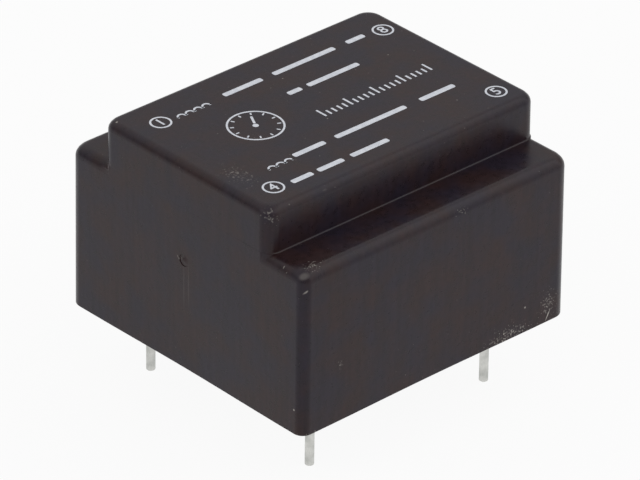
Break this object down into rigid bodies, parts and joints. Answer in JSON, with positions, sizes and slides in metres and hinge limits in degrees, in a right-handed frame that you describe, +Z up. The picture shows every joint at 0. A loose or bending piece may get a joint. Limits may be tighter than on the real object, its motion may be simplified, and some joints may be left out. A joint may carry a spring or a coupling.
{
  "type": "pcb transformer",
  "caption": "Potted mains transformer for printed circuit boards: black moulded case with a raised crown over the coil, and round tinned pins on a square grid.",
  "frame": {"origin": "middle of the case's seating rim, which is the middle of the four corner pins", "axes": "+X along the coil from the primary pins to the secondary pins, +Z up, away from the board"},
  "size_m": [0.0228, 0.022, 0.0196],
  "materials": {
    "case_plastic": "black moulded thermoplastic, fine satin mould texture, dusty and lightly scuffed",
    "resin": "black casting resin, glossy and slightly sunk",
    "former_plastic": "natural moulded coil former",
    "core_steel": "punched silicon steel sheet, oxide blued",
    "enamelled_copper": "enamelled copper wire",
    "tape": "yellow polyester tape",
    "tinned_wire": "tinned wire, soft shine",
    "solder_tin": "dip solder"
  },
  "bodies": {
    "root": {"case": "case_plastic", "casting_resin": "resin", "coil_former": "former_plastic", "core_e_sheet_1": "core_steel", "core_e_sheet_2": "core_steel", "core_e_sheet_3": "core_steel", "core_e_sheet_4": "core_steel", "core_e_sheet_5": "core_steel", "core_e_sheet_6": "core_steel", "core_e_sheet_7": "core_steel", "core_e_sheet_8": "core_steel", "core_e_sheet_9": "core_steel", "core_e_sheet_10": "core_steel", "core_e_sheet_11": "core_steel", "core_e_sheet_12": "core_steel", "core_i_sheet_1": "core_steel", "core_i_sheet_2": "core_steel", "core_i_sheet_3": "core_steel", "core_i_sheet_4": "core_steel", "core_i_sheet_5": "core_steel", "core_i_sheet_6": "core_steel", "core_i_sheet_7": "core_steel", "core_i_sheet_8": "core_steel", "core_i_sheet_9": "core_steel", "core_i_sheet_10": "core_steel", "core_i_sheet_11": "core_steel", "core_i_sheet_12": "core_steel", "primary_winding": "enamelled_copper", "primary_tape": "tape", "secondary_winding_1": "enamelled_copper", "secondary_interlayer_tape": "tape", "secondary_winding_2": "enamelled_copper", "secondary_tape": "tape", "pin_1": "tinned_wire", "pin_4": "tinned_wire", "pin_5": "tinned_wire", "pin_6": "tinned_wire", "pin_7": "tinned_wire", "pin_8": "tinned_wire", "solder_1": "solder_tin", "solder_4": "solder_tin", "solder_5": "solder_tin", "solder_6": "solder_tin", "solder_7": "solder_tin", "solder_8": "solder_tin"}
  },
  "joints": []
}
